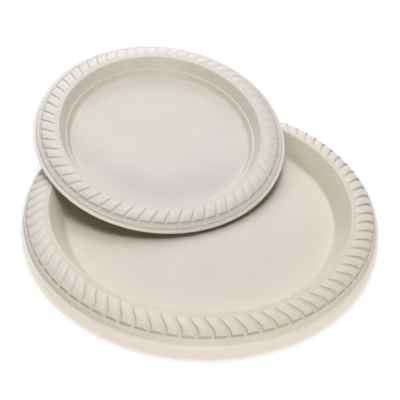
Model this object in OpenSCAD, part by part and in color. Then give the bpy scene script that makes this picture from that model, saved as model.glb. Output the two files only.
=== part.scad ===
// Two round disposable plates, the small one resting askew in the large one.
// Each plate is a single moulded sheet of even thickness: a flat foot, a sloping wall,
// a crowned flange with a ring of raised S-shaped lobes, and a low outer lip.
// The two patterns of lobes lean opposite ways.

/* [Sheet] */
// Thickness of the moulded sheet
sheet = 0.5; // [0.4:0.05:0.7]
// Height of each lobe above the flange between the lobes
lobe_rise = 0.6; // [0.4:0.05:0.9]
// Thickness left round the hollow under each lobe
lobe_wall = 0.5; // [0.4:0.05:0.7]

/* [Large plate] */
// Diameter over the lip
large_d = 228; // [210:1:250]
// Width of the rim, from its inner corner to the lip's edge
large_rim_w = 17.8; // [16.5:0.1:19]
// Height of the rim's inner corner above the foot
large_corner_h = 15.9; // [14.8:0.1:17]
// Distance that the wall leans outwards on its way up
large_wall_run = 8.8; // [7:0.1:11]
// Height at the middle of the flange
large_crown_h = 14.8; // [14:0.1:15.4]
// Height of the edge between the flange and the outer riser
large_riser_h = 10.95; // [10:0.05:12]
// Height of the lip's outer edge
large_lip_h = 7.2; // [6:0.1:8.5]
// Width of the lip
large_lip_w = 1.7; // [1.2:0.1:2.2]
// Number of lobes
large_lobes = 80; // [60:1:90]
// Smooth ring between the lobes and the riser
large_ledge_w = 1.5; // [1.2:0.1:2]
// Distance along the rim that each lobe leans between its two ends
large_lobe_lean = 5.4; // [3:0.1:6]
// Angle from the front at which one lobe's outer corner stands
large_lobe_turn = -3.2; // [-6:0.1:6]

/* [Small plate] */
// Diameter over the lip
small_d = 176; // [160:1:190]
// Width of the rim, from its inner corner to the lip's edge
small_rim_w = 17.8; // [16.5:0.1:19]
// Height of the rim's inner corner above the foot
small_corner_h = 13.2; // [12:0.1:15]
// Distance that the wall leans outwards on its way up
small_wall_run = 6.8; // [6:0.1:9]
// Height at the middle of the flange
small_crown_h = 12.9; // [11.9:0.1:13]
// Height of the edge between the flange and the outer riser
small_riser_h = 10.5; // [10.2:0.05:11]
// Height of the lip's outer edge
small_lip_h = 8.8; // [8:0.1:9.2]
// Width of the lip
small_lip_w = 2.1; // [1.6:0.1:2.6]
// Number of lobes
small_lobes = 60; // [48:1:72]
// Smooth ring between the lobes and the riser
small_ledge_w = 3.1; // [2.4:0.1:3.8]
// Distance along the rim that each lobe leans between its two ends
small_lobe_lean = 4.4; // [3:0.1:6]
// Angle from the front at which one lobe's outer corner stands
small_lobe_turn = -0.4; // [-6:0.1:6]
// Height of the small step round the wall
small_step_h = 5; // [3.5:0.1:7]
// Width of the small step round the wall
small_step_w = 1.1; // [0.9:0.1:1.5]

/* [Rest] */
// Distance between the centres of the two plates
slide = 69.3; // [64:0.1:72]
// Direction in which the small plate has slid, from the right, anticlockwise
slide_turn = 116.4; // [0:0.1:360]
// Air left between the two plates at the points where they touch
seat_gap = 0.2; // [0.1:0.05:0.4]

/* [Hidden] */
$fn = 180;

// Rounding of the sheet's bends, on its upper face
large_foot_round = 3.6;
small_foot_round = 2.2;
crest_round = 1.6;
crown_round = 20;
edge_round = 0.6;
lip_round = 0.6;
step_round = 0.6;
bend_steps = 4;
crown_steps = 1;
edge_steps = 2;

// Distance that the riser leans outwards, and height gained across each narrow step
large_riser_run = 1.0;
small_riser_run = 0.7;
step_rise = 0.3;

// Lobes: smooth ring inside them, share of the pitch that one fills, points along a side
lobe_inset = 2.9;
lobe_share = 0.68;
lobe_steps = 5;

// Side to which the lobes lean, how far their sides curl from a straight lean towards an S,
// and the share of their length, from the outer end, that runs straight to the centre
large_lobe_hand = 1;
small_lobe_hand = -1;
large_lobe_curl = 1;
small_lobe_curl = 0.35;
large_lobe_straight = 0.12;
small_lobe_straight = 0;

// Angle at which the front of the stack lies
front = -90;

// Room that a cutting shape has beyond the sheet, and the band of lobes at its two edges
past = 2;
band_past = 0.6;

// Search for the resting tilt: its step and reach round the foot's edge, the lowest and
// highest tilt, and how often the span between them is halved
rest_step = 0.5;
rest_reach = 150;
least_tilt = 2;
most_tilt = 35;
halvings = 20;

// Places in the list that describes a plate
RADIUS = 0;
RIM_W = 1;
CORNER_H = 2;
WALL_RUN = 3;
CROWN_H = 4;
RISER_H = 5;
LIP_H = 6;
LIP_W = 7;
LOBES = 8;
LEDGE_W = 9;
LOBE_TURN = 10;
FOOT_ROUND = 11;
RISER_RUN = 12;
STEP_H = 13;
STEP_W = 14;
LOBE_LEAN = 15;
HAND = 16;
CURL = 17;
STRAIGHT = 18;

// Place of the crest among a plate's corners, counted back from its lip
CREST = 5;

LARGE = [
    large_d / 2, large_rim_w, large_corner_h, large_wall_run, large_crown_h, large_riser_h,
    large_lip_h, large_lip_w, large_lobes, large_ledge_w, large_lobe_turn,
    large_foot_round, large_riser_run, 0, 0,
    large_lobe_lean, large_lobe_hand, large_lobe_curl, large_lobe_straight
];
SMALL = [
    small_d / 2, small_rim_w, small_corner_h, small_wall_run, small_crown_h, small_riser_h,
    small_lip_h, small_lip_w, small_lobes, small_ledge_w, small_lobe_turn,
    small_foot_round, small_riser_run, small_step_h, small_step_w,
    small_lobe_lean, small_lobe_hand, small_lobe_curl, small_lobe_straight
];

// Plane geometry for a path of corners, each with a radius to which it is rounded
function unit(v) = v / norm(v);
function left_of(v) = [-v[1], v[0]];
function turned(v, angle) = [
    v[0] * cos(angle) - v[1] * sin(angle),
    v[0] * sin(angle) + v[1] * cos(angle)
];
function bend(a, b, c) = atan2(cross(unit(b - a), unit(c - b)), unit(b - a) * unit(c - b));

function bend_centre(a, b, c, radius) =
    let (u = unit(b - a), angle = bend(a, b, c))
    b - u * radius * tan(abs(angle) / 2) + sign(angle) * radius * left_of(u);

function bend_points(a, b, c, radius, steps) =
    let (u = unit(b - a), angle = bend(a, b, c))
    let (spoke = -sign(angle) * radius * left_of(u))
    [for (k = [0:steps]) bend_centre(a, b, c, radius) + turned(spoke, angle * k / steps)];

function rounded(path, radii, steps) = [
    for (k = [0:len(path) - 1])
        each radii[k] == 0
            ? [path[k]]
            : bend_points(path[k - 1], path[k], path[k + 1], radii[k], steps[k])
];

// The same path moved square to itself by a distance, to its right as it runs outwards
function normal_at(path, k) =
    let (before = k == 0 ? path[1] - path[0] : path[k] - path[k - 1])
    let (after = k == len(path) - 1 ? before : path[k + 1] - path[k])
    let (n1 = left_of(unit(before)), n2 = left_of(unit(after)))
    (n1 + n2) / (1 + n1 * n2);
function beside(path, distance) = [
    for (k = [0:len(path) - 1]) path[k] - distance * normal_at(path, k)
];
function radii_beside(path, radii, distance) = [
    for (k = [0:len(path) - 1])
        radii[k] == 0
            ? 0
            : radii[k] + distance * sign(bend(path[k - 1], path[k], path[k + 1]))
];
function raised(points, height) = [for (p = points) p + [0, height]];
function reversed(points) = [for (k = [len(points) - 1:-1:0]) points[k]];

// Corners of a plate's upper face, from its centre to its lip
function corner_r(p) = p[RADIUS] - p[RIM_W];
function riser_r(p) = p[RADIUS] - p[LIP_W] - p[RISER_RUN];
function foot_r(p) = corner_r(p) - p[WALL_RUN];
function step_r(p) =
    foot_r(p) + (p[WALL_RUN] - p[STEP_W]) * (p[STEP_H] - sheet) / (p[CORNER_H] - sheet);
function wall_corners(p) = p[STEP_W] == 0 ? [] : [
    [step_r(p), p[STEP_H]],
    [step_r(p) + p[STEP_W], p[STEP_H] + step_rise]
];
function corners(p) = [
    [0, sheet],
    [foot_r(p), sheet],
    each wall_corners(p),
    [corner_r(p), p[CORNER_H]],
    [(corner_r(p) + riser_r(p)) / 2, p[CROWN_H]],
    [riser_r(p), p[RISER_H]],
    [p[RADIUS] - p[LIP_W], p[LIP_H] + step_rise],
    [p[RADIUS], p[LIP_H]]
];
function corner_radii(p) = [
    0, p[FOOT_ROUND],
    each p[STEP_W] == 0 ? [] : [step_round, step_round],
    crest_round, crown_round, edge_round, lip_round, 0
];
function corner_steps(p) = [
    0, bend_steps,
    each p[STEP_W] == 0 ? [] : [edge_steps, edge_steps],
    bend_steps, crown_steps, edge_steps, edge_steps, 0
];

function upper_face(p) = rounded(corners(p), corner_radii(p), corner_steps(p));
function under_face(p) = rounded(
    beside(corners(p), sheet),
    radii_beside(corners(p), corner_radii(p), sheet),
    corner_steps(p)
);

// Outline of one lobe, seen from above
function lobe_inner(p) = corner_r(p) + lobe_inset;
function lobe_outer(p) = riser_r(p) - p[LEDGE_W];
function smooth(u) = u * u * (3 - 2 * u);
function sway(p, u) =
    let (v = max(0, (u - p[STRAIGHT]) / (1 - p[STRAIGHT])))
    v + p[CURL] * (smooth(v) - v);
function along(p, inset, u) = (lobe_outer(p) - inset) * (1 - u) + (lobe_inner(p) + inset) * u;
function polar(r, angle) = [r * cos(angle), r * sin(angle)];
function angle_of(arc, r) = arc / r * 180 / PI;
function lobe_side(p, inset, across) = [
    for (k = [0:lobe_steps])
        let (r = along(p, inset, k / lobe_steps))
        let (u = (lobe_outer(p) - r) / (lobe_outer(p) - lobe_inner(p)))
        let (lean = angle_of(p[LOBE_LEAN], lobe_outer(p)) * sway(p, u))
        let (shift = angle_of(inset, r) * (1 - 2 * across))
        polar(r, p[HAND] * (across * lobe_share * 360 / p[LOBES] + shift - lean))
];
function lobe_outline(p, inset) = concat(
    lobe_side(p, inset, 0),
    reversed(lobe_side(p, inset, 1))
);

// How the small plate comes to rest: its foot on the large plate's floor at the front,
// and its round foot edge over the large plate's crest at two places behind that.
function crest_at(p) =
    let (c = corners(p), k = len(c) - CREST)
    bend_centre(c[k - 1], c[k], c[k + 1], crest_round);
function flange_height(p, r) =
    p[CORNER_H] - (p[CORNER_H] - p[CROWN_H]) * (r - corner_r(p)) * 2 / (riser_r(p) - corner_r(p));

// Rings that the foot may land on: radius, height and roundness
BEARERS = [
    [crest_at(LARGE)[0], crest_at(LARGE)[1], crest_round],
    [lobe_inner(LARGE), flange_height(LARGE, lobe_inner(LARGE)) + lobe_rise, 0]
];
foot_edge = foot_r(SMALL) - SMALL[FOOT_ROUND]
    * tan(bend(corners(SMALL)[0], corners(SMALL)[1], corners(SMALL)[2]) / 2);
foot_tube = SMALL[FOOT_ROUND] + sheet;

function rest_height(tilt) =
    sheet + seat_gap + foot_tube + foot_edge * sin(tilt) - foot_tube * cos(tilt);
function foot_point(tilt, angle) = [
    foot_edge * cos(angle) * cos(tilt) - foot_tube * sin(tilt) + slide,
    foot_edge * sin(angle),
    foot_edge * cos(angle) * sin(tilt) + foot_tube * cos(tilt) + rest_height(tilt)
];
function air_over(bearer, point) =
    let (reach = bearer[2] + foot_tube + seat_gap)
    let (aside = norm([point[0], point[1]]) - bearer[0])
    abs(aside) >= reach
        ? point[2]
        : point[2] - bearer[1] - sqrt(reach * reach - aside * aside);
function least_air(tilt) = min([
    for (angle = [0:rest_step:rest_reach], bearer = BEARERS)
        air_over(bearer, foot_point(tilt, angle))
]);
function rest_tilt(low, high, rounds) =
    let (middle = (low + high) / 2)
    rounds == 0
        ? middle
        : least_air(middle) < 0
            ? rest_tilt(middle, high, rounds - 1)
            : rest_tilt(low, middle, rounds - 1);

tilt = rest_tilt(least_tilt, most_tilt, halvings);

module sheet_form(p) {
    rotate_extrude()
        polygon(concat(upper_face(p), reversed(under_face(p))));
}

module lobe_ring(p, inset) {
    linear_extrude(height = p[CORNER_H] + past)
        for (k = [0:p[LOBES] - 1])
            rotate(front + p[LOBE_TURN] + k * 360 / p[LOBES])
                polygon(lobe_outline(p, inset));
}

// A ring of revolution under or over the flange, between two heights beside a face
module flange_band(p, face, bottom, top) {
    rotate_extrude()
        intersection() {
            polygon(concat(raised(face, top), reversed(raised(face, bottom))));
            translate([lobe_inner(p) - band_past, 0])
                square([lobe_outer(p) - lobe_inner(p) + 2 * band_past, p[CORNER_H] + past]);
        }
}

module plate(p) {
    difference() {
        union() {
            sheet_form(p);
            intersection() {
                flange_band(p, upper_face(p), -sheet / 2, lobe_rise);
                lobe_ring(p, 0);
            }
        }
        intersection() {
            flange_band(p, under_face(p), -past, lobe_rise);
            lobe_ring(p, lobe_wall);
        }
    }
}

module large_plate() {
    color("#e3dccb")
        plate(LARGE);
}

module small_plate() {
    color("#e8e5dd")
        translate([slide * cos(slide_turn), slide * sin(slide_turn), rest_height(tilt)])
            rotate([0, 0, slide_turn])
                rotate([0, -tilt, 0])
                    rotate([0, 0, -slide_turn])
                        plate(SMALL);
}

large_plate();
small_plate();
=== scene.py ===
"""Two round disposable plates, the small one resting askew in the large one.

Each plate is one closed mesh of a moulded sheet. Its profile runs from the centre over
the upper face to the lip and back under the sheet. Lengths are in millimetres until a
mesh or a place is handed to Blender, which takes metres.
"""

import math

import bpy
import numpy as np
from mathutils import Matrix, Vector


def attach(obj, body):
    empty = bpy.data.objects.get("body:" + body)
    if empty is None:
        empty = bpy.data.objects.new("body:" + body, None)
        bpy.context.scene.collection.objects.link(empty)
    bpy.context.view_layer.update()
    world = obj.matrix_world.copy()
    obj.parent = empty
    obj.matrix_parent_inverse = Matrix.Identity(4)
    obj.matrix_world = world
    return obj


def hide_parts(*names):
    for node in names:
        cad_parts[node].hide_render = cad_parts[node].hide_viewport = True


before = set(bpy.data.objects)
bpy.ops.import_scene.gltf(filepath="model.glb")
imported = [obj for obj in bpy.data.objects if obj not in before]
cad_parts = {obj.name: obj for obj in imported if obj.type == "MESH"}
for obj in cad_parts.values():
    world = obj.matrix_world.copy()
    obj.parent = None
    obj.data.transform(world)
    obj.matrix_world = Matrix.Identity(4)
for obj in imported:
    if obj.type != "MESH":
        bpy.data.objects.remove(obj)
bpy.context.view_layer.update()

MM = 0.001

# The sheet and the shapes that both plates share. The step round a wall and the lip each
# slope by SHELF_RISE over their width.
SHEET = 0.5
CREST_ROUND = 1.6
CROWN_ROUND = 20
EDGE_ROUND = 0.6
STEP_ROUND = 0.6
LIP_ROUND = 0.18
SHELF_RISE = 0.3
LOBE_INSET = 2.9
FRONT = math.radians(-90)

# How many straight pieces draw a wide bend of the profile, its crown and a tight bend
WIDE_STEPS, CROWN_STEPS, TIGHT_STEPS = 6, 8, 3

# The two plates, with heights above the foot. The ring of lobes is turned by "turn". Seen
# from above, a lobe leans by "lean" over its length, outwards and anticlockwise where
# "hand" is 1, clockwise where it is -1. The outermost "straight" of its length doesn't
# lean, and the rest is a full S where "curl" is 1. It rises by "rise" at its outer and its
# inner end, and fills "share" of a pitch.
LARGE = {
    "radius": 114, "rim_w": 17.8, "corner_h": 15.9, "wall_run": 8.8, "crown_h": 14.8,
    "riser_h": 10.95, "lip_h": 7.2, "lip_w": 1.7, "riser_run": 1.0, "foot_round": 3.6,
    "step_h": 0, "step_w": 0, "lobes": 80, "ledge_w": 1.5, "lean": 5.4,
    "turn": math.radians(-3.2), "hand": 1, "curl": 1, "straight": 0.12,
    "rise": (1.15, 0.3), "share": 0.68,
}
SMALL = {
    "radius": 88, "rim_w": 17.8, "corner_h": 13.2, "wall_run": 6.8, "crown_h": 12.9,
    "riser_h": 10.5, "lip_h": 8.8, "lip_w": 2.1, "riser_run": 0.7, "foot_round": 2.2,
    "step_h": 5, "step_w": 1.1, "lobes": 60, "ledge_w": 3.1, "lean": 4.4,
    "turn": math.radians(-0.4), "hand": -1, "curl": 0.35, "straight": 0,
    "rise": (0.62, 0.35), "share": 0.73,
}

# How the small plate lies: distance and direction of its slide, tilt, height of its foot
SLIDE = 69.3
SLIDE_TURN = math.radians(116.4)
TILT = math.radians(13.0898)
REST_H = 14.8063

# The two faces of a sheet. Each is also the place of its share in the stops below.
TOP, HOLLOW = 1, 2

# How a lobe rises from its crisp side: distance from that side, and share of the rise that
# the upper face and the hollow under it have there
CRISP_SIDE = ((-0.3, -0.06, 0), (-0.1, 0, 0), (0.1, 0.72, 0), (0.3, 0.97, 0), (0.8, 1, 0.8))

# How it falls to its soft side: place as a share of the lobe's width, and the same shares
SOFT_SIDE = (
    (0.35, 1.02, 1), (0.66, 1, 1), (0.86, 0.93, 0.8), (0.97, 0.7, 0.4),
    (1.06, 0.38, 0.1), (1.16, 0.14, 0), (1.27, 0.03, 0),
)

# How its outer and inner ends rise: distance from the end into the lobe, and the same shares
OUTER_END = ((-0.3, 0, 0), (-0.05, 0.12, 0), (0.15, 0.7, 0), (0.4, 0.96, 0.1), (0.9, 1, 0.9))
INNER_END = ((-0.5, 0, 0), (0, 0.3, 0), (0.5, 0.8, 0.3), (1.1, 1, 0.9))

# Rings of vertices between the two ends, least gap from the lobes' rings to the profile's
# own, and how many columns of the lobes share one vertex of the flat floor
MIDDLE_ROWS = 9
ROW_GAP = 0.1
FLOOR_STRIDE = 4

# Painted light on the skin: 1 is painted shade in the creases, and -1 a painted highlight on the
# lip.
# The table below has one value for each column of a pitch, from the crisp side on: painted shade at
# the crisp side, a faint painted highlight on the lobe's top. It sets in over the span below it,
# measured outwards from the lobes' inner ends.
LOBE_SHADE_AND_HIGHLIGHT = (0.05, 0.9, 0.5, -0.15, -0.3, -0.3, -0.3, -0.3, -0.3, -0.2, -0.15, -0.1)
LOBE_SHADE_START = (-0.3, 1.5)

# Painted shade at a lobe's outer end: distance from the end into the lobe, and value, where -1
# leaves the value given for the lobe's columns. The shade is whole where the lobe has two thirds of
# its rise.
END_PAINTED_SHADE = ((-0.55, -1), (-0.3, 0.4), (-0.05, 1), (0.2, 0.5), (0.5, -1))
END_FULL = 1.5

# Painted highlight outside the lobes: on the ledge, which starts this far from their ends, on the
# riser, and on the lip, from a little inside its width
LEDGE_START = 0.6
LEDGE_PAINTED_HIGHLIGHT = -0.6
RISER_PAINTED_HIGHLIGHT = -0.2
LIP_PAINTED_HIGHLIGHT = -1.0
LIP_MARGIN = 0.1

# The skin: features a metre and detail of its clouds, grain, gloss and unevenness, then
# how strongly the last three show. The gloss lies between two values of roughness, and
# the unevenness is in metres. Only the middle part of a noise value is used.
CLOUDS = (38, 3)
GRAIN = (1400, 2)
GLOSS = (160, 3)
UNEVEN = (900, 4)
NOISE_MIDDLE = (0.3, 0.7)
GRAIN_SHARE = 0.35
ROUGH = (0.4, 0.52)
EDGE_ROUGH = 0.34
BUMP_STRENGTH = 0.25
BUMP_DEPTH = 0.00006

# Light that soaks into the sheet: its share, how far red, green and blue go, and the unit
# of that in metres
SOAK = 0.12
SOAK_COLOURS = (1, 0.75, 0.5)
SOAK_DEPTH = 0.002

# Colours of each plate's skin: pale, deep, then the painted highlight on the lip and edges, and the
# painted shade in the creases
WARM = ((0.80, 0.745, 0.62), (0.765, 0.705, 0.575), (0.99, 0.965, 0.89), (0.48, 0.425, 0.33))
PALE = ((0.75, 0.72, 0.64), (0.72, 0.685, 0.6), (0.9, 0.87, 0.79), (0.45, 0.41, 0.34))

# Camera: its angle above the floor and its distance from the large foot's centre, what it
# looks at, its roll, and its lens on a sensor of this width. Places are in metres.
VIEW_HEIGHT = math.radians(42)
VIEW_DISTANCE = 0.442
VIEW_TARGET = Vector((-0.00061, 0.0135, 0))
VIEW_ROLL = math.radians(2.72)
LENS = 60.6
SENSOR = 36

# Light: soft disks at one distance, each with its height and direction in degrees, width,
# power and colour. Three are behind, one is overhead, and two low ones in front reach the
# risers and the back walls. The sky adds a little all round.
LAMP_DISTANCE = 1.2
LAMPS = (
    (77, 90, 0.6, 6.1, (0.97, 0.955, 1)),
    (38, 90, 0.7, 5.1, (0.88, 0.885, 1)),
    (38, 135, 0.7, 2.6, (1, 0.98, 0.97)),
    (90, 90, 0.6, 1.1, (0.94, 0.94, 1)),
    (8, -90, 0.25, 5.5, (1, 0.965, 0.93)),
    (8, -35, 0.25, 1.6, (1, 0.87, 0.7)),
)
SKY_LIGHT = 0.02

# Floor, in metres: half its side, how far it lies under the foot, and its colour for the
# light that it throws on the plates. Only a part of the white that one sees is lit, so the
# shadow turns warm and not black. FLOOR_LEAST is the least light that still makes it white.
# From FLOOR_NEAR to FLOOR_FAR it turns into plain white.
FLOOR_HALF = 3
FLOOR_DROP = 0.00003
FLOOR_COLOUR = (0.9, 0.87, 0.8)
FLOOR_LIT = (0.62, 0.8, 1)
FLOOR_LEAST = 0.56
FLOOR_NEAR, FLOOR_FAR = 0.2, 0.4
WHITE = (1, 1, 1)


def unit(v):
    return v / np.linalg.norm(v)


def left_of(v):
    return np.array([-v[1], v[0]])


def bend(a, b, c):
    """Angle by which a path through three points turns at b, positive to the left."""
    u, v = unit(b - a), unit(c - b)
    return math.atan2(u[0] * v[1] - u[1] * v[0], u @ v)


def arc(a, b, c, radius, steps):
    """Points of the arc that rounds corner b of a path."""
    u, angle = unit(b - a), bend(a, b, c)
    side = math.copysign(1, angle) * left_of(u)
    centre = b - u * radius * math.tan(abs(angle) / 2) + radius * side
    spoke = -radius * side
    made = []
    for k in range(steps + 1):
        s, t = math.sin(angle * k / steps), math.cos(angle * k / steps)
        made.append(centre + np.array([spoke[0] * t - spoke[1] * s, spoke[0] * s + spoke[1] * t]))
    return made


def rounded(path, radii, steps):
    """The path with an arc at each corner that has a radius."""
    made = []
    for k, corner in enumerate(path):
        if radii[k] == 0:
            made.append(corner)
        else:
            made += arc(path[k - 1], corner, path[k + 1], radii[k], steps[k])
    return made


def beside(path, distance):
    """The same path moved square to itself, to its right as it runs outwards."""
    made = []
    for k, corner in enumerate(path):
        before = path[1] - path[0] if k == 0 else corner - path[k - 1]
        after = before if k == len(path) - 1 else path[k + 1] - corner
        n1, n2 = left_of(unit(before)), left_of(unit(after))
        made.append(corner - distance * (n1 + n2) / (1 + n1 @ n2))
    return made


def corner_radius(p):
    """Radius of the crest, where the wall meets the flange."""
    return p["radius"] - p["rim_w"]


def riser_radius(p):
    """Radius of the edge, where the flange turns down into the riser."""
    return p["radius"] - p["lip_w"] - p["riser_run"]


def upper_corners(p):
    """(radius, height, rounding, pieces of the arc) of each corner of the upper face."""
    corner_r, riser_r = corner_radius(p), riser_radius(p)
    foot_r = corner_r - p["wall_run"]
    made = [(0, SHEET, 0, 0), (foot_r, SHEET, p["foot_round"], WIDE_STEPS)]
    if p["step_w"]:
        climb = (p["step_h"] - SHEET) / (p["corner_h"] - SHEET)
        step_r = foot_r + (p["wall_run"] - p["step_w"]) * climb
        made += [
            (step_r, p["step_h"], STEP_ROUND, TIGHT_STEPS),
            (step_r + p["step_w"], p["step_h"] + SHELF_RISE, STEP_ROUND, TIGHT_STEPS),
        ]
    return made + [
        (corner_r, p["corner_h"], CREST_ROUND, WIDE_STEPS),
        ((corner_r + riser_r) / 2, p["crown_h"], CROWN_ROUND, CROWN_STEPS),
        (riser_r, p["riser_h"], EDGE_ROUND, TIGHT_STEPS),
        (p["radius"] - p["lip_w"], p["lip_h"] + SHELF_RISE, EDGE_ROUND, TIGHT_STEPS),
        (p["radius"], p["lip_h"], LIP_ROUND, TIGHT_STEPS),
    ]


def profile(p):
    """Rounded profile of the upper face out to the lip, and of the underside back from it."""
    corners = upper_corners(p)
    path = [np.array(corner[:2], float) for corner in corners]
    radii = [corner[2] for corner in corners]
    steps = [corner[3] for corner in corners]
    under = beside(path, SHEET)
    under_radii = [0]
    for k in range(1, len(path) - 1):
        under_radii.append(radii[k] + SHEET * math.copysign(1, bend(*path[k - 1:k + 2])))
    under_radii.append(LIP_ROUND)
    whole = rounded(path + under[::-1], radii + under_radii[::-1], steps + steps[::-1])
    turn = max(range(len(whole)), key=lambda k: whole[k][0]) + 1
    return whole[:turn], whole[turn:]


def band_of(p):
    """Radii between which the lobes stand."""
    return corner_radius(p) + LOBE_INSET, riser_radius(p) - p["ledge_w"]


def rows(p, points, face):
    """(radius, height, rise of the lobes) of each ring of vertices on one face."""
    inner, outer = band_of(p)
    points = points if face == TOP else points[::-1]
    band = [(inner + stop[0], stop[face]) for stop in INNER_END]
    start, end = band[-1][0], outer - OUTER_END[-1][0]
    for k in range(1, MIDDLE_ROWS + 1):
        band.append((start + (end - start) * k / (MIDDLE_ROWS + 1), 1))
    band += [(outer - stop[0], stop[face]) for stop in OUTER_END[::-1]]
    radius, height = zip(*points)
    made = [(r, z, 0) for r, z in points if r < band[0][0] - ROW_GAP]
    for r, share in band:
        rise = np.interp(r, (inner, outer), p["rise"][::-1])
        made.append((r, np.interp(r, radius, height), share * rise))
    made += [(r, z, 0) for r, z in points if r > band[-1][0] + ROW_GAP]
    return made if face == TOP else made[::-1]


def columns(p, r, face):
    """Angle and share of the rise of each column across one pitch, from the crisp side."""
    pitch = math.tau / p["lobes"]
    made = [(stop[0] / max(r, band_of(p)[0]), stop[face]) for stop in CRISP_SIDE]
    return made + [(stop[0] * p["share"] * pitch, stop[face]) for stop in SOFT_SIDE]


def sway(p, r):
    """How far round, in radians, the lobes have leant at this radius."""
    inner, outer = band_of(p)
    u = min(max((outer - r) / (outer - inner), 0), 1)
    v = max((u - p["straight"]) / (1 - p["straight"]), 0)
    return p["lean"] / outer * (v + p["curl"] * (v * v * (3 - 2 * v) - v))


def painted_light(p, r, face, stride):
    """Painted light at each vertex of the ring at this radius: painted shade and painted highlight.
    """
    inner, outer = band_of(p)
    shade_start = [inner + distance for distance in LOBE_SHADE_START]
    if r > p["radius"] - p["lip_w"] - LIP_MARGIN:
        line = np.full(len(LOBE_SHADE_AND_HIGHLIGHT), LIP_PAINTED_HIGHLIGHT)
    elif r > outer + LEDGE_START:
        line = np.full(len(LOBE_SHADE_AND_HIGHLIGHT), LEDGE_PAINTED_HIGHLIGHT if r < outer + p["ledge_w"] else RISER_PAINTED_HIGHLIGHT)
    elif r > shade_start[0] and face == TOP:
        line = np.array(LOBE_SHADE_AND_HIGHLIGHT) * np.interp(r, shade_start, (0, 1))
        distances, painted_tones = zip(*END_PAINTED_SHADE)
        lobe = np.array([stop[TOP] for stop in CRISP_SIDE + SOFT_SIDE])
        at_end = np.interp(outer - r, distances, painted_tones) * np.clip(lobe * END_FULL, 0, 1)
        line = np.maximum(line, at_end)
    else:
        line = np.zeros(len(LOBE_SHADE_AND_HIGHLIGHT))
    return np.tile(line, p["lobes"])[::stride]


def ring(p, row, face, stride):
    """Vertices of one ring, in millimetres."""
    r, z, rise = row
    angle, share = (np.array(values) for values in zip(*columns(p, r, face)))
    angle = (np.arange(p["lobes"])[:, None] * math.tau / p["lobes"] + angle).ravel()
    angle = FRONT + p["turn"] + p["hand"] * (angle - sway(p, r))
    lift = z + rise * np.tile(share, p["lobes"])
    return np.stack([r * np.cos(angle), r * np.sin(angle), lift], 1)[::stride]


def shell(p):
    """Rings of vertices from the centre over the upper face and back under it, and their painted
    light.
    """
    floor_r = corner_radius(p) - p["wall_run"] - p["foot_round"] / 2
    rings = [np.array([[0, 0, SHEET]])]
    painted_tones = [np.zeros(1)]
    for face, points in zip((TOP, HOLLOW), profile(p)):
        for row in rows(p, points, face):
            if row[0] > 0:
                stride = FLOOR_STRIDE if row[0] < floor_r else 1
                rings.append(ring(p, row, face, stride))
                painted_tones.append(painted_light(p, row[0], face, stride))
    rings.append(np.array([[0, 0, 0]]))
    painted_tones.append(np.zeros(1))
    return rings, painted_tones


def join(a, b, a_start, b_start):
    """Faces between two rings, of which one may have a whole multiple of the other's vertices."""
    if a > b:
        return [face[::-1] for face in join(b, a, b_start, a_start)]
    ratio = b // a
    half = ratio // 2
    made = []
    for j in range(a):
        here, there = a_start + j, a_start + (j + 1) % a
        fine = [b_start + (j * ratio + i) % b for i in range(ratio + 1)]
        if ratio == 1:
            made.append((here, fine[0], fine[1], there))
            continue
        made += [(here, fine[i], fine[i + 1]) for i in range(half)]
        made.append((here, fine[half], there))
        made += [(there, fine[i], fine[i + 1]) for i in range(half, ratio)]
    return made


def stitched(rings):
    """Faces that join each ring to the next, with a fan at each of the two centres."""
    starts = [int(start) for start in np.cumsum([0] + [len(r) for r in rings])]
    first, last = len(rings[1]), len(rings[-2])
    faces = [(0, starts[1] + k, starts[1] + (k + 1) % first) for k in range(first)]
    for k in range(1, len(rings) - 2):
        faces += join(len(rings[k]), len(rings[k + 1]), starts[k], starts[k + 1])
    faces += [(starts[-2], starts[-3] + (k + 1) % last, starts[-3] + k) for k in range(last)]
    return faces


def plate(name, p, place):
    """One plate as a closed mesh, moved to its place."""
    rings, painted_tones = shell(p)
    faces = stitched(rings)
    if p["hand"] < 0:
        faces = [face[::-1] for face in faces]
    mesh = bpy.data.meshes.new(name)
    mesh.from_pydata((np.vstack(rings) * MM).tolist(), [], faces)
    mesh.transform(place)
    mesh.shade_smooth()
    # Painted shade and painted highlight of each vertex, for the material to mix into its colour
    mesh.attributes.new("painted_light", "FLOAT", "POINT").data.foreach_set("value", np.concatenate(painted_tones))
    piece = bpy.data.objects.new(name, mesh)
    bpy.context.scene.collection.objects.link(piece)
    return piece


def small_place():
    """Place of the small plate: raised on the side that it slides to, then slid and lifted."""
    centre = Vector((SLIDE * math.cos(SLIDE_TURN), SLIDE * math.sin(SLIDE_TURN), REST_H)) * MM
    spin = Matrix.Rotation(SLIDE_TURN, 4, "Z")
    return Matrix.Translation(centre) @ spin @ Matrix.Rotation(-TILT, 4, "Y") @ spin.inverted()


def noise(tree, scale, detail):
    """A noise texture in object space; its scale is in features a metre."""
    where = tree.nodes.new("ShaderNodeTexCoord")
    made = tree.nodes.new("ShaderNodeTexNoise")
    made.inputs["Scale"].default_value = scale
    made.inputs["Detail"].default_value = detail
    tree.links.new(where.outputs["Object"], made.inputs["Vector"])
    return made.outputs["Fac"]


def spread(tree, value, low, high):
    """The middle part of a noise value, spread from low to high."""
    made = tree.nodes.new("ShaderNodeMapRange")
    made.inputs["From Min"].default_value = NOISE_MIDDLE[0]
    made.inputs["From Max"].default_value = NOISE_MIDDLE[1]
    made.inputs["To Min"].default_value = low
    made.inputs["To Max"].default_value = high
    tree.links.new(value, made.inputs["Value"])
    return made.outputs["Result"]


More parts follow.
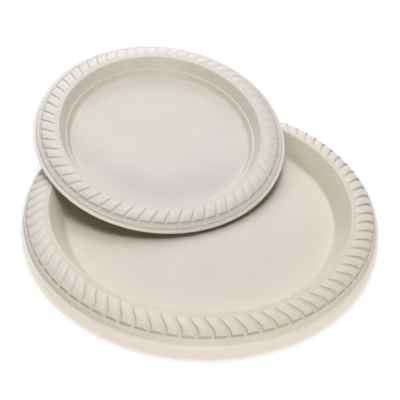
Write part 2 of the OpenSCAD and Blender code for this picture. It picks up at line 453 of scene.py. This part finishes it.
def mixed(tree, factor, a, b):
    """Mix of two colours."""
    made = tree.nodes.new("ShaderNodeMix")
    made.data_type = "RGBA"
    tree.links.new(factor, made.inputs[0])
    for socket, colour in ((made.inputs[6], a), (made.inputs[7], b)):
        if isinstance(colour, tuple):
            socket.default_value = (*colour, 1)
        else:
            tree.links.new(colour, socket)
    return made.outputs[2]


def painted_light_part(tree, painted_light_value, sign):
    """The part of the painted light that has this sign, from 0 to 1; 1 gives the painted shade, -1
    the painted highlight.
    """
    made = tree.nodes.new("ShaderNodeMath")
    made.operation = "MULTIPLY"
    made.use_clamp = True
    made.inputs[1].default_value = sign
    tree.links.new(painted_light_value, made.inputs[0])
    return made.outputs[0]


def starch_sheet(name, pale, deep, highlight_colour, shade_colour):
    """Satin moulded sheet: cloudy tone, fine grain, a faint unevenness of the skin, a painted
    highlight on the lip, ledge, riser and lobe tops, which are also shinier, and painted shade in
    the creases."""
    made = bpy.data.materials.new(name)
    made.use_nodes = True
    tree = made.node_tree
    shader = tree.nodes["Principled BSDF"]
    painted_light_value = tree.nodes.new("ShaderNodeAttribute")
    painted_light_value.attribute_name = "painted_light"
    # Masks of the painted highlight and of the painted shade
    painted_highlight = painted_light_part(tree, painted_light_value.outputs["Fac"], -1)
    painted_shade = painted_light_part(tree, painted_light_value.outputs["Fac"], 1)
    colour = mixed(tree, spread(tree, noise(tree, *CLOUDS), 0, 1), pale, deep)
    colour = mixed(tree, spread(tree, noise(tree, *GRAIN), 0, GRAIN_SHARE), colour, deep)
    # The painted highlight and the painted shade, mixed into the colour
    colour = mixed(tree, painted_highlight, colour, highlight_colour)
    colour = mixed(tree, painted_shade, colour, shade_colour)
    tree.links.new(colour, shader.inputs["Base Color"])
    rough = tree.nodes.new("ShaderNodeMix")
    tree.links.new(painted_highlight, rough.inputs[0])
    tree.links.new(spread(tree, noise(tree, *GLOSS), *ROUGH), rough.inputs[2])
    rough.inputs[3].default_value = EDGE_ROUGH
    tree.links.new(rough.outputs[0], shader.inputs["Roughness"])
    skin = tree.nodes.new("ShaderNodeBump")
    skin.inputs["Strength"].default_value = BUMP_STRENGTH
    skin.inputs["Distance"].default_value = BUMP_DEPTH
    tree.links.new(noise(tree, *UNEVEN), skin.inputs["Height"])
    tree.links.new(skin.outputs["Normal"], shader.inputs["Normal"])
    shader.inputs["Subsurface Weight"].default_value = SOAK
    shader.inputs["Subsurface Radius"].default_value = SOAK_COLOURS
    shader.inputs["Subsurface Scale"].default_value = SOAK_DEPTH
    return made


def dress(piece, node, material):
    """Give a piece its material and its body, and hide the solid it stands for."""
    piece.data.materials.append(material)
    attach(piece, "root")
    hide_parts(node)


def coloured(tree, kind, colour):
    """A shader node of one colour."""
    made = tree.nodes.new(kind)
    made.inputs["Color"].default_value = (*colour, 1)
    return made


def blended(tree, factor, a, b):
    """Mix of two shaders."""
    made = tree.nodes.new("ShaderNodeMixShader")
    tree.links.new(factor, made.inputs[0])
    tree.links.new(a, made.inputs[1])
    tree.links.new(b, made.inputs[2])
    return made.outputs[0]


def for_viewer(tree, plain, seen):
    """One shader for the light that surfaces throw on each other, another for what is seen."""
    path = tree.nodes.new("ShaderNodeLightPath")
    total = path.outputs["Is Camera Ray"]
    for ray in ("Is Glossy Ray", "Is Transmission Ray"):
        most = tree.nodes.new("ShaderNodeMath")
        most.operation = "MAXIMUM"
        tree.links.new(total, most.inputs[0])
        tree.links.new(path.outputs[ray], most.inputs[1])
        total = most.outputs[0]
    return blended(tree, total, plain, seen)


def far_away(tree):
    """0 up to FLOOR_NEAR from the middle of the floor, and 1 from FLOOR_FAR on."""
    where = tree.nodes.new("ShaderNodeTexCoord")
    away = tree.nodes.new("ShaderNodeVectorMath")
    away.operation = "LENGTH"
    tree.links.new(where.outputs["Object"], away.inputs[0])
    made = tree.nodes.new("ShaderNodeMapRange")
    made.inputs["From Min"].default_value = FLOOR_NEAR
    made.inputs["From Max"].default_value = FLOOR_FAR
    tree.links.new(away.outputs["Value"], made.inputs["Value"])
    return made.outputs["Result"]


def floor_paint():
    """Pale matt paint, which the viewer sees as white but for the plates' warm shadow."""
    made = bpy.data.materials.new("pale_floor")
    made.use_nodes = True
    tree = made.node_tree
    tree.nodes.remove(tree.nodes["Principled BSDF"])
    plain = coloured(tree, "ShaderNodeBsdfDiffuse", FLOOR_COLOUR)
    lit = coloured(tree, "ShaderNodeBsdfDiffuse", FLOOR_LIT)
    glow = coloured(tree, "ShaderNodeEmission", [1 - FLOOR_LEAST * part for part in FLOOR_LIT])
    near = tree.nodes.new("ShaderNodeAddShader")
    tree.links.new(lit.outputs[0], near.inputs[0])
    tree.links.new(glow.outputs[0], near.inputs[1])
    far = coloured(tree, "ShaderNodeEmission", WHITE)
    seen = blended(tree, far_away(tree), near.outputs[0], far.outputs[0])
    surface = for_viewer(tree, plain.outputs[0], seen)
    tree.links.new(surface, tree.nodes["Material Output"].inputs["Surface"])
    return made


def make_floor():
    """The level surface that the plates stand on."""
    mesh = bpy.data.meshes.new("floor")
    sides = ((-1, -1), (1, -1), (1, 1), (-1, 1))
    corners = [(x * FLOOR_HALF, y * FLOOR_HALF, -FLOOR_DROP) for x, y in sides]
    mesh.from_pydata(corners, [], [(0, 1, 2, 3)])
    floor = bpy.data.objects.new("floor", mesh)
    bpy.context.scene.collection.objects.link(floor)
    mesh.materials.append(floor_paint())


def make_sky():
    """A faint glow all round, and plain white where one looks past the floor."""
    world = bpy.data.worlds.new("studio")
    world.use_nodes = True
    tree = world.node_tree
    faint = tree.nodes["Background"]
    faint.inputs["Color"].default_value = (*WHITE, 1)
    faint.inputs["Strength"].default_value = SKY_LIGHT
    white = coloured(tree, "ShaderNodeBackground", WHITE)
    surface = for_viewer(tree, faint.outputs[0], white.outputs[0])
    tree.links.new(surface, tree.nodes["World Output"].inputs["Surface"])
    bpy.context.scene.world = world


def make_lamps():
    """The soft disks, each turned to the large foot's centre."""
    for k, (height, side, width, power, colour) in enumerate(LAMPS):
        lamp = bpy.data.lights.new(f"lamp_{k}", "AREA")
        lamp.shape = "DISK"
        lamp.size = width
        lamp.energy = power
        lamp.color = colour
        holder = bpy.data.objects.new(f"lamp_{k}", lamp)
        lifted = Matrix.Rotation(math.radians(-height), 3, "Y")
        place = Matrix.Rotation(math.radians(side), 3, "Z") @ lifted @ Vector((LAMP_DISTANCE, 0, 0))
        holder.location = place
        holder.rotation_euler = (-place).to_track_quat("-Z", "Y").to_euler()
        holder.visible_camera = False
        bpy.context.scene.collection.objects.link(holder)


def make_camera():
    """The camera in front of the plates, looking down on them."""
    offset = Vector((0, -math.cos(VIEW_HEIGHT), math.sin(VIEW_HEIGHT))) * VIEW_DISTANCE
    ahead = (VIEW_TARGET - offset).normalized()
    right = ahead.cross(Vector((0, 0, 1))).normalized()
    up = right.cross(ahead)
    c, s = math.cos(VIEW_ROLL), math.sin(VIEW_ROLL)
    turned = Matrix((c * right + s * up, -s * right + c * up, -ahead)).transposed()
    data = bpy.data.cameras.new("camera")
    data.lens = LENS
    data.sensor_width = SENSOR
    camera = bpy.data.objects.new("camera", data)
    camera.matrix_world = Matrix.Translation(offset) @ turned.to_4x4()
    bpy.context.scene.collection.objects.link(camera)
    bpy.context.scene.camera = camera


large = plate("large_plate_sheet", LARGE, Matrix.Identity(4))
small = plate("small_plate_sheet", SMALL, small_place())
dress(large, "large_plate", starch_sheet("warm_starch", *WARM))
dress(small, "small_plate", starch_sheet("pale_starch", *PALE))
make_floor()
make_sky()
make_lamps()
make_camera()
bpy.context.scene.view_settings.view_transform = "Standard"
